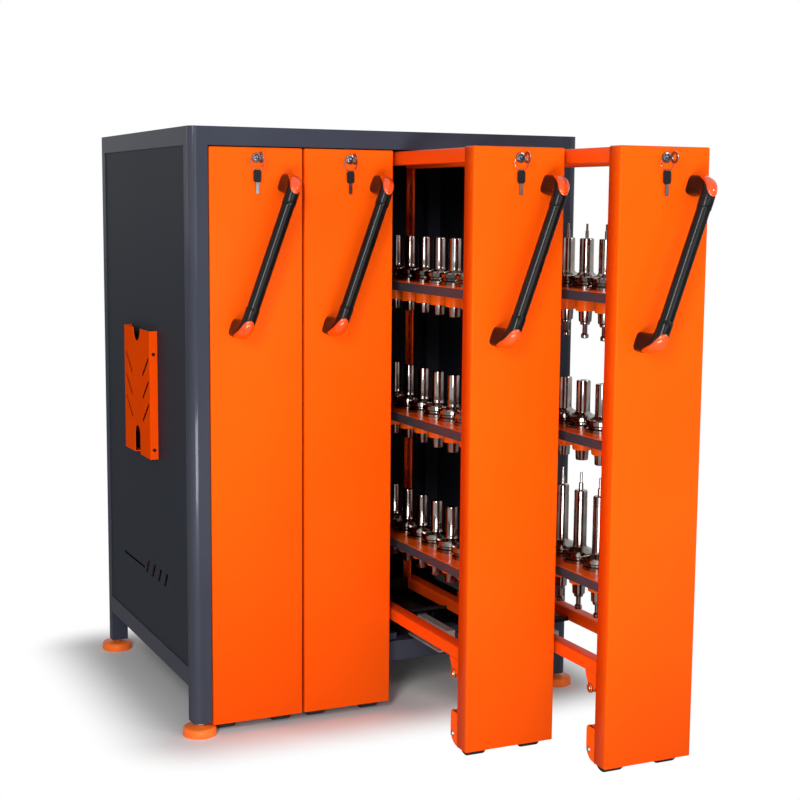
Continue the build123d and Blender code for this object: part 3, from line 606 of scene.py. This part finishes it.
def socket_plates(bay):
    """The orange plates in the trays and the turned cups under them."""
    left, right = bay.between()
    x = (left + PLATE_GAP, right - PLATE_GAP)
    y = bay.y(TRAY_FRONT_Y + PLATE_GAP, TRAY_REAR_Y - PLATE_GAP)
    cup = turned(CUP)
    plates = []
    for top in bay.tray_tops:
        plates.append(block(x, y, (top + PLATE_LOW, top + PLATE_HIGH)))
        if bay.loaded:
            plates.append(cup.copies(bay.sockets(top)))
    piece(bay.own("plates"), sum(plates), PLATE_ORANGE, bay.name,
          replaces=bay.own("socket_plates"), sharp=30)


def channel_upright(bay, web_x, outward, front_y):
    """A slotted channel upright: a grid along its profile and its height, less the slots."""
    z_low, z_high = LOW_TUBE[1], bay.top_tube[0]
    count = int((z_high - z_low - SLOT_PITCH) / SLOT_PITCH)
    middles = (z_low + z_high) / 2 + SLOT_PITCH * (np.arange(count) - (count - 1) / 2)
    slot_ends = np.stack((middles - SLOT_HEIGHT / 2, middles + SLOT_HEIGHT / 2), 1).ravel()
    heights = np.concatenate(([z_low], slot_ends, [z_high]))
    slot = (UPRIGHT_WIDTH - SLOT_WIDTH) / 2
    lip, bend = outward * UPRIGHT_DEPTH, outward * UPRIGHT_BEND
    profile = [(lip, 0), (bend, 0), (0, UPRIGHT_BEND), (0, slot), (0, slot + SLOT_WIDTH)]
    profile += [(0, UPRIGHT_WIDTH - UPRIGHT_BEND), (bend, UPRIGHT_WIDTH), (lip, UPRIGHT_WIDTH)]
    slot_strip = profile.index((0, slot))
    profile = np.array(profile) + (web_x, front_y)
    rows = np.empty((len(heights), len(profile), 3))
    rows[:, :, :2] = profile
    rows[:, :, 2] = heights[:, None]
    shape = skin(rows, caps=False, around=False)
    quads = shape.faces[0].reshape(len(heights) - 1, len(profile) - 1, 4)
    keep = np.ones(quads.shape[:2], bool)
    keep[1::2, slot_strip] = False
    return Shape(shape.points, [quads[keep]])


def low_cross_bars(bay):
    """The three angles between the low tubes, the middle one with a lower leg."""
    bars = []
    for start, leg_top in (
        (SHEET, LOW_TUBE[1]),
        (BAY_LENGTH - MIDDLE_BAR_TO_END, MIDDLE_BAR_LEG_TOP),
        (BAY_LENGTH - CROSS_BAR, LOW_TUBE[1]),
    ):
        y = bay.y(start, start + CROSS_BAR)
        bars.append(block(bay.between(), y, (LOW_TUBE[0], LOW_TUBE[0] + CROSS_BAR_WALL)))
        bars.append(block(bay.between(), (y[0], y[0] + CROSS_BAR_WALL), (LOW_TUBE[0], leg_top)))
    piece(bay.own("low_cross_bars"), sum(bars), BLACK, bay.name)


def bay_frame(bay):
    """The square tubes, the roller brackets and the guide shoe of one bay."""
    shapes = []
    for x in bay.tubes():
        for z in (bay.top_tube, LOW_TUBE):
            shapes.append(square_tube(x, z, bay.y(SHEET, BAY_LENGTH)))
        shapes.append(roller_bracket(bay, x))
    shoe_y = bay.y(BAY_LENGTH - SHOE_LENGTH, BAY_LENGTH)
    top = bay.top_tube[1]
    shapes.append(block(bay.between(), shoe_y, (top - CROSS_BAR_WALL, top)))
    for half_width, low, high in (
        (SHOE_NECK_HALF_WIDTH, 0, SHOE_NECK_HEIGHT),
        (SHOE_HALF_WIDTH, SHOE_NECK_HEIGHT, SHOE_HEIGHT),
    ):
        x = (bay.middle - half_width, bay.middle + half_width)
        shapes.append(block(x, shoe_y, (top + low, top + high)))
    piece(bay.own("tubes"), sum(shapes), FRAME_ORANGE, bay.name,
          replaces=bay.own("frame"))


def uprights(bay):
    """The four slotted channels that the trays hang between."""
    strips = [channel_upright(bay, *upright) for upright in bay.uprights()]
    piece(bay.own("uprights"), sum(strips), FRAME_ORANGE, bay.name, wall=SHEET)


def landing_rollers(bay):
    """The brass roller in each roller bracket and the head of its axle."""
    roller = turned([(4, FORK_SHEET + 0.2), (7.6, FORK_SHEET + 0.4), (ROLLER_RADIUS, FORK_SHEET + 2),
                     (ROLLER_RADIUS, TUBE_WIDTH - 2), (8, TUBE_WIDTH - 1)])
    head = turned([(0.5, -6.4), (4, -6.2), (4.8, -4.8), (7.8, -4.6), (9, -3.4), (9, -1), (8, 0)])
    axle_y = bay.front + ROLLER_Y
    axle_z = LOW_TUBE[0] - BRACKET_DROP + ROLLER_RADIUS
    rollers = [
        along_x(shape, (x[0], axle_y, axle_z)) for x in bay.tubes() for shape in (roller, head)
    ]
    piece(bay.own("landing_rollers"), sum(rollers), BRASS, bay.name)


def tray_screws(bay):
    """A screw with a round recess in its head where each tray meets an upright."""
    screw = turned([(5.2, 0), (5.2, 1.2), (4.2, 2.8), (2.4, 3.4), (2.2, 1.6), (0.4, 1.6)], 16)
    screws = [
        along_x(screw, (x + outward * SHEET, y + UPRIGHT_WIDTH / 2, top - TRAY_HEIGHT / 2), outward)
        for x, outward, y in bay.uprights()
        for top in bay.tray_tops
    ]
    piece(bay.own("tray_screws"), sum(screws), ZINC, bay.name)


def roller_bracket(bay, x):
    """The tapered plate with a round foot that carries a landing roller under a low tube."""
    foot, head = LOW_TUBE[0] - BRACKET_DROP, LOW_TUBE[0] + 0.5
    front, back = bay.y(BRACKET_FRONT_Y, BRACKET_FRONT_Y + BRACKET_LENGTH)
    centre = (bay.front + ROLLER_Y, foot + BRACKET_ROUND)
    outline = [(front, head), (front, foot + BRACKET_NOSE), *arc(centre, BRACKET_ROUND, 210, 150, 10),
               (back - 3, LOW_TUBE[0] - 8), (back, head)]
    return prism(outline, x[0], x[0] + FORK_SHEET, across="yz")


def bay_panel(bay):
    """The folded front panel: an open box with its edges bent to a small radius."""
    outline = rectangle((bay.left, bay.right), (bay.foot, bay.top))
    points = np.vstack([raised(outline, y, "xz") for y in bay.y(0, PANEL_FLANGE)])
    faces = [(0, 1, 2, 3), (0, 3, 7, 4), (1, 5, 6, 2), (3, 2, 6, 7)]
    panel = piece(bay.own("folded_panel"), Shape(points, [faces]), ORANGE, bay.name,
                  replaces=bay.own("panel"), bevel=BEND, wall=SHEET)
    panel.modifiers["edge"].segments = 4
    panel.modifiers["edge"].harden_normals = False


def fork_outline(bay):
    """The side of a wheel fork, well rounded at its lower back corner."""
    front, back = bay.y(SHEET, FORK_LENGTH)
    slope = bay.foot - FORK_FOOT
    low_centre = (back - FORK_ROUND, FORK_FOOT + FORK_ROUND)
    top_centre = (back - FORK_TOP_CORNER, FORK_TOP - FORK_TOP_CORNER)
    return [(front, bay.foot), (front + slope, FORK_FOOT), *arc(low_centre, FORK_ROUND, -90, 90, 10),
            *arc(top_centre, FORK_TOP_CORNER, 0, 90, 5), (front, FORK_TOP)]


def wheels(bay):
    """The two wheels, their forks and the bolt heads on the forks' outer sides."""
    outline = fork_outline(bay)
    forks, tyres, bolts = [], [], []
    bridge_y = bay.y(SHEET, FORK_LENGTH - FORK_TOP_CORNER)
    tyre = turned([(6, -16.5), (13, -16.5), (14, -18), (23.4, -18), (WHEEL_RADIUS, -16.4),
                   (WHEEL_RADIUS, 16.4), (23.4, 18), (14, 18), (13, 16.5), (6, 16.5)], 48)
    bolt = turned([(0.5, 3.2), (3.4, 3.1), (4.6, 2.6), (5.2, 1.6), (5.4, 0)], 20)
    for edge, inward in ((bay.left, 1), (bay.right, -1)):
        centre = edge + inward * WHEEL_INSET
        outer = edge + inward * SHEET
        inner = centre + inward * (WHEEL_WIDTH / 2 + FORK_GAP)
        for start in (outer, inner):
            forks.append(prism(outline, *sorted((start, start + inward * FORK_SHEET)), across="yz"))
        span = sorted((outer, inner + inward * FORK_SHEET))
        forks.append(block(span, bridge_y, (FORK_TOP - FORK_SHEET, FORK_TOP)))
        tyres.append(along_x(tyre, (centre, bay.front + WHEEL_Y, WHEEL_RADIUS)))
        bolts.append(along_x(bolt, (outer, bay.front + BOLT_Y, BOLT_Z), -inward))
    piece(bay.own("forks"), sum(forks), ORANGE, bay.name, bevel=0.5)
    piece(bay.own("tyres"), sum(tyres), RUBBER, bay.own("wheels"),
          replaces=bay.own("wheels"))
    piece(bay.own("fork_bolts"), sum(bolts), ZINC, bay.name)


# Handle

HANDLE_LENGTH = hypot(HANDLE_RUN, HANDLE_RISE)

# Control points of a leg's middle line: distance along the handle and height over the panel
LEG_CURVE = np.array(((0, 0), (0, 46), (2, GRIP_STAND_OFF), (32, GRIP_STAND_OFF)), float)


def leg_surface(along, angle, offset=0.0):
    """A leg's skin in the handle's own x along, y across and z out.

    Its middle line is a cubic curve, and its section goes from a rounded rectangle on the panel to the
    round collar of the grip: half widths times powers of the angle's cosine and sine.
    """
    along, angle, offset = np.broadcast_arrays(along, angle, offset)
    t = along[..., None]
    weights = ((1 - t) ** 3, 3 * t * (1 - t) ** 2, 3 * t**2 * (1 - t), t**3)
    middle = sum(weight * point for weight, point in zip(weights, LEG_CURVE))
    slopes = (3 * (1 - t) ** 2, 6 * t * (1 - t), 3 * t**2)
    course = sum(slope * step for slope, step in zip(slopes, np.diff(LEG_CURVE, axis=0)))
    course /= np.linalg.norm(course, axis=-1, keepdims=True)
    outward = np.stack((-course[..., 1], course[..., 0]), axis=-1)
    ease = along * along * (3 - 2 * along)
    power = LEG_POWER + (1 - LEG_POWER) * ease
    half = LEG_HALF_LENGTH + (COLLAR_RADIUS - LEG_HALF_LENGTH) * ease + offset
    reach = half * np.sign(np.cos(angle)) * np.abs(np.cos(angle)) ** power
    aside = (COLLAR_RADIUS + offset) * np.sign(np.sin(angle)) * np.abs(np.sin(angle)) ** power
    spot = middle + outward * reach[..., None]
    return np.stack((spot[..., 0], aside, spot[..., 1]), axis=-1)


def leg():
    """A leg from the panel to the end of its collar."""
    rows = leg_surface(np.linspace(0, 1, 18)[:, None], whole_turn(32)[None])
    collar = rows[-1:].copy()
    collar[..., 0] = SOCKET_REACH - 1
    lip = rows[-1:].copy()
    lip[..., 0] = SOCKET_REACH
    lip[..., 1:] = (lip[..., 1:] - (0, GRIP_STAND_OFF)) * LIP_SHARE + (0, GRIP_STAND_OFF)
    return skin(np.concatenate((rows, collar, lip)))


def corner_cap():
    """The glossy shield over a leg's bend: a point on the panel, full at the bend, a round tongue.

    At a share s of its length its reach to both sides swells as the root of 1 - |2s - 1|^2.6, and its
    bulge falls from the middle to the sides as (1 - a^2)^0.4.
    """
    along = np.linspace(CAP_START, CAP_END, 24)
    share = (along - CAP_START) / (CAP_END - CAP_START)
    swell = np.clip(1 - np.abs(2 * share - 1) ** 2.6, 0, 1) ** 0.5
    reach = CAP_REACH * swell
    across = np.linspace(-1, 1, 15)
    angle = reach[:, None] * across[None]
    rise = CAP_BULGE * swell[:, None] * np.sqrt(np.clip(1 - across[None] ** 2, 0, 1)) ** 0.8
    outside = leg_surface(along[:, None], angle, rise - CAP_SUNK)
    inside = leg_surface(along[:, None], angle, -CAP_DEPTH)[:, ::-1]
    return skin(np.concatenate((outside, inside), axis=1))


def handles(bay):
    """The black grip with its two legs and their orange corner caps."""
    slant = (HANDLE_RUN / HANDLE_LENGTH, 0, HANDLE_RISE / HANDLE_LENGTH)
    side = (-slant[2], 0, slant[0])
    foot_z = bay.top - HANDLE_HEAD_BELOW_TOP - HANDLE_RISE
    origin = (bay.left + HANDLE_FOOT_X, bay.front, foot_z)

    def set_up(shape):
        return shape.mapped(origin, slant, side, (0, -1, 0))

    def both_ends(shape):
        mirrored = Shape(shape.points * (-1, 1, 1) + (HANDLE_LENGTH, 0, 0), shape.faces)
        return set_up(shape) + set_up(mirrored)

    span = (SOCKET_REACH - 2, HANDLE_LENGTH - SOCKET_REACH + 2)
    bar = turned([(GRIP_RADIUS, span[0]), (GRIP_RADIUS, span[1])], 40)
    grip = set_up(along_x(bar, (0, 0, GRIP_STAND_OFF))) + both_ends(leg())
    piece(bay.own("grip"), grip, HANDLE_BLACK, bay.name,
          replaces=bay.own("handle"), sharp=40)
    piece(bay.own("corner_caps"), both_ends(corner_cap()), HANDLE_ORANGE, bay.name,
          replaces=bay.own("handle_caps"), sharp=60)


# Lock and keys


def key_ring(bay, z):
    """A torus of thin wire round a line along y, with its middle at the height z."""
    wire, around = whole_turn(10), whole_turn(48)
    radius = RING_RADIUS + WIRE_RADIUS * np.cos(wire)
    depth = bay.front + RING_Y + WIRE_RADIUS * np.sin(wire)
    rows = np.stack(
        (
            bay.middle + radius[None] * np.sin(around)[:, None],
            np.broadcast_to(depth, (len(around), len(wire))),
            z + radius[None] * np.cos(around)[:, None],
        ),
        axis=-1,
    )
    return skin(rows, loop=True)


def locks(bay):
    """The lock barrel, the plug with its cam and key, and the spare key on its ring."""
    z = bay.top - LOCK_BELOW_TOP

    def facing(profile, sides):
        """A profile carried round the lock's axis, with its heights towards the front."""
        place = (bay.middle, bay.front, z)
        return turned(profile, sides).mapped(place, (1, 0, 0), (0, 0, 1), (0, -1, 0))

    def plate(x, heights, corner, y):
        """A flat plate that faces the front, with x and heights measured from the lock's axis."""
        x_limits = (bay.middle + x[0], bay.middle + x[1])
        z_limits = (z + heights[0], z + heights[1])
        return prism(rounded(x_limits, z_limits, corner), *bay.y(*y), across="xz")

    barrel = facing([(7.5, -37), (9, -36), (9, 0.5), (9.8, 0.6), (9.8, 2.4), (9, 3.7), (7.2, 4),
                     (6.3, 3.2), (6.3, -37)], 32)
    piece(bay.own("barrel"), barrel, LOCK_STEEL, bay.name,
          replaces=bay.own("lock_barrel"))

    plug = facing([(6, -40), (6, 3.4), (5.2, 3.8), (0.3, 3.8)], 24)
    cam = plate(x=(-7, 30), heights=(-7, 7), corner=6, y=(38, 40.5))
    shank = block((bay.middle - 1, bay.middle + 1), bay.y(-16.5, -3.5), (z - 3, z + 3))
    outer, inner = [circle((bay.front + BOW_Y, z), radius) for radius in BOW_RADII]
    bow = hollow(outer, inner, bay.middle - BOW_HALF_WIDTH, bay.middle + BOW_HALF_WIDTH, across="yz")
    key = plug + cam + shank + bow
    piece(bay.own("lock_key"), key, LOCK_STEEL, bay.own("lock_plug"),
          replaces=bay.own("lock_plug"), bevel=0.25)

    blade = plate(x=(-3, 3), heights=(-68.5, -46), corner=2, y=(-6, -4))
    ring = key_ring(bay, z - RING_DROP)
    piece(bay.own("key_ring"), ring + blade, LOCK_STEEL, bay.own("spare_key"))
    head = plate(x=(-7.5, 7.5), heights=(-47, -23), corner=4.5, y=(-7, -3))
    piece(bay.own("key_head"), head, KEY_BLACK, bay.own("spare_key"),
          replaces=bay.own("spare_key"), bevel=0.8)


# Cabinet


def foot(name):
    """A levelling foot: its round pad, its stem, and the lock nut under the post."""
    low, high = box_mm(name)
    x, y = (low + high)[:2] / 2
    pad = turned([(32, 0), (33.6, 0.8), (FOOT_RADIUS, 2.5), (33.2, 14), (31.5, 17), (28, FOOT_HEIGHT),
                  (12, 18.6), (10, 20), (STEM_RADIUS, 20.5)], 64)
    stem = turned([(STEM_RADIUS, FOOT_HEIGHT), (STEM_RADIUS, STEM_TOP)], 20)
    bore, top = STEM_RADIUS + 0.2, POST_FOOT - 0.3
    nut = turned([(bore, 20.6), (8.6, 20.6), (9.6, 21.4), (9.6, 24.9), (8.6, top), (bore, top)], 6)
    piece(f"{name}_pad", pad.moved(x, y), FOOT_PLASTIC, name, replaces=name, sharp=50)
    piece(f"{name}_stem", stem.moved(x, y), ZINC, name)
    piece(f"{name}_lock_nut", nut.moved(x, y), ZINC, "cabinet")


def pocket_screws():
    """The screws on the document pocket's front and back side."""
    screw = turned([(3.8, 0), (3.8, 0.8), (3, 1.6), (1.8, 1.8), (1.6, 0.8), (0.4, 0.8)], 16)
    low, high = box_mm("document_pocket")
    screws = [
        screw.mapped(((low[0] + high[0]) / 2, y, low[2] + share * (high[2] - low[2])),
                     (1, 0, 0), (0, 0, 1), (0, outward, 0))
        for y, outward in ((low[1], -1), (high[1], 1))
        for share in POCKET_SCREW_SHARES
    ]
    piece("pocket_screws", sum(screws), BLACK, "cabinet")


def cabinet():
    """The cabinet's own sheets with their paint, its feet, its base sheet and its small fasteners."""
    repaint("cabinet_frame", GREY)
    for side in ("left_side", "right_side", "back"):
        repaint(f"{side}_panel", SIDE_GREY_PAINTED_SHADE)
    repaint("document_pocket", POCKET_ORANGE_PAINTED_SHADE)
    repaint("outer_runners", BLACK)
    for end in ("front", "back"):
        for side in ("left", "right"):
            foot(f"foot_{end}_{side}")
    base_x = (POST_SIDE, CABINET_WIDTH - POST_SIDE)
    base_y = (BASE_FRONT_Y, CABINET_DEPTH - POST_SIDE - BASE_BACK_GAP)
    piece("base_sheet", block(base_x, base_y, BASE_SHEET_Z), BLACK, "cabinet")
    pocket_screws()
    post_edges()


def post_edges():
    """A smooth rounded edge along each post, a hair proud of the frame's own facets."""
    centre = (POST_ROUND, POST_ROUND)
    outline = [(0, EDGE_REACH), *arc(centre, POST_ROUND + EDGE_PROUD, 180, 90, 12), (EDGE_REACH, 0),
               (EDGE_REACH, EDGE_SHEET), *arc(centre, POST_ROUND - EDGE_SHEET, 270, -90, 12),
               (EDGE_SHEET, EDGE_REACH)]
    edge = prism(outline, POST_FOOT, CABINET_HEIGHT - EDGE_BELOW_TOP)
    edges = [
        Shape(edge.points * (x_sign, y_sign, 1) + (x_start, y_start, 0), edge.faces)
        for x_sign, x_start in ((1, 0), (-1, CABINET_WIDTH))
        for y_sign, y_start in ((1, 0), (-1, CABINET_DEPTH))
    ]
    piece("post_edges", sum(edges), EDGE_GREY.material, "cabinet")


# Floor, light and camera, in metres

FLOOR_REACH = 30
SHADOW_REACH = 0.2
FILL_STRENGTH = 0.25

# Each lamp's name, place, target, width and height, and power in watts
LAMPS = (
    ("key_box", (-2.55, -3.5, 2.3), (0.1, -0.2, 0.5), (0.8, 2.0), 95),
    ("right_box", (2.6, -3.6, 2.6), (0.1, -0.2, 0.5), (0.6, 0.6), 30),
    ("front_box", (0.4, -5.5, 1.6), (0.1, 0, 0.4), (3.0, 2.0), 34),
    ("low_box", (-0.8, -2.3, 0.16), (0.0, 0, 0.2), (1.8, 0.3), 30),
)

# The camera's yaw, pitch and roll in degrees, its place in cabinet millimetres, and its lens and film
CAMERA_TURN = (25.0179, 7.4039, 0.4802)
CAMERA_PLACE = (-866.8, -2810.2, 1059.1)
LENS = 68.479
FILM_WIDTH = 36


def outside(look, low, high):
    """How far a place on the floor is from the footprint of a box, in metres."""
    def beyond(axis):
        middle, half = (low[axis] + high[axis]) / 2, (high[axis] - low[axis]) / 2
        return look.maths("MAXIMUM", look.maths("ABSOLUTE", look.axis(axis) - middle) - half, 0.0)

    x, y = beyond(0), beyond(1)
    return look.maths("SQRT", x * x + y * y)


def pale_floor():
    """A pale floor that fades from its own lit surface at the cabinet to plain white further out."""
    mesh = bpy.data.meshes.new("floor")
    corners = rectangle((-FLOOR_REACH, FLOOR_REACH), (-FLOOR_REACH, FLOOR_REACH))
    mesh.from_pydata([(x, y, 0) for x, y in corners.tolist()], [], [(0, 1, 2, 3)])
    floor = bpy.data.objects.new("floor", mesh)
    bpy.context.scene.collection.objects.link(floor)
    look = Look("floor_white", {"Roughness": 0.8, "Specular IOR Level": 0.1,
                                "Base Color": (0.86, 0.86, 0.86, 1)})
    glow = look.add("ShaderNodeEmission", inputs={"Strength": 1.0})
    camera_ray = look.add("ShaderNodeLightPath", output="Is Camera Ray")
    gap = outside(look, *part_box("cabinet_frame"))
    share = look.between(gap, 0.0, SHADOW_REACH) * camera_ray
    surface = Number(look, look.shader.outputs[0])
    mixed = look.add("ShaderNodeMixShader", inputs={0: share, 1: surface, 2: glow})
    output = look.tree.nodes["Material Output"]
    look.tree.links.new(mixed.socket, output.inputs["Surface"])
    mesh.materials.append(look.material)


def surround():
    """A world that is white to the camera, in reflections and through glass, and else a weak fill."""
    world = bpy.data.worlds.new("studio")
    bpy.context.scene.world = world
    world.use_nodes = True
    tree = world.node_tree
    tree.nodes.clear()

    def larger(first, second):
        node = tree.nodes.new("ShaderNodeMath")
        node.operation = "MAXIMUM"
        tree.links.new(first, node.inputs[0])
        tree.links.new(second, node.inputs[1])
        return node.outputs[0]

    def white(strength):
        node = tree.nodes.new("ShaderNodeBackground")
        node.inputs["Color"].default_value = (1, 1, 1, 1)
        node.inputs["Strength"].default_value = strength
        return node.outputs[0]

    rays = tree.nodes.new("ShaderNodeLightPath").outputs
    seen = larger(larger(rays["Is Camera Ray"], rays["Is Transmission Ray"]), rays["Is Glossy Ray"])
    chosen = tree.nodes.new("ShaderNodeMixShader")
    for socket, source in enumerate((seen, white(FILL_STRENGTH), white(1.0))):
        tree.links.new(source, chosen.inputs[socket])
    output = tree.nodes.new("ShaderNodeOutputWorld")
    tree.links.new(chosen.outputs[0], output.inputs["Surface"])


def lamp(name, place, target, size, power):
    """A soft box that points from its place to its target."""
    light = bpy.data.lights.new(name, "AREA")
    light.shape = "RECTANGLE"
    light.size, light.size_y = size
    light.energy = power
    thing = bpy.data.objects.new(name, light)
    aim = Vector(target) - Vector(place)
    thing.matrix_world = Matrix.Translation(place) @ aim.to_track_quat("-Z", "Y").to_matrix().to_4x4()
    bpy.context.scene.collection.objects.link(thing)


def photo_camera():
    """The camera that the photo was taken with, as fitted to the cabinet's edges."""
    yaw, pitch, roll = [radians(turn) for turn in CAMERA_TURN]
    forward = Vector((sin(yaw) * cos(pitch), cos(yaw) * cos(pitch), -sin(pitch)))
    level = Vector((cos(yaw), -sin(yaw), 0))
    upright = level.cross(forward)
    right = level * cos(roll) + upright * sin(roll)
    up = upright * cos(roll) - level * sin(roll)
    data = bpy.data.cameras.new("camera")
    data.lens = LENS
    data.sensor_width = FILM_WIDTH
    camera = bpy.data.objects.new("camera", data)
    place = Vector(ORIGIN + MM * np.array(CAMERA_PLACE))
    turn = Matrix((right, up, -forward)).transposed().to_4x4()
    camera.matrix_world = Matrix.Translation(place) @ turn
    bpy.context.scene.collection.objects.link(camera)
    bpy.context.scene.camera = camera
    bpy.context.scene.view_settings.view_transform = "Standard"


cabinet()
for bay in BAYS:
    if bay.loaded:
        tool_holders(bay)
    socket_plates(bay)
    low_cross_bars(bay)
    bay_frame(bay)
    uprights(bay)
    landing_rollers(bay)
    tray_screws(bay)
    bay_panel(bay)
    wheels(bay)
    handles(bay)
    locks(bay)
    repaint(bay.own("trays"), TRAY_GREY)
    repaint(bay.own("runner_rail"), BLACK)
    repaint(bay.own("runner_middle"), RUNNER_ZINC)
pale_floor()
surround()
for settings in LAMPS:
    lamp(*settings)
photo_camera()
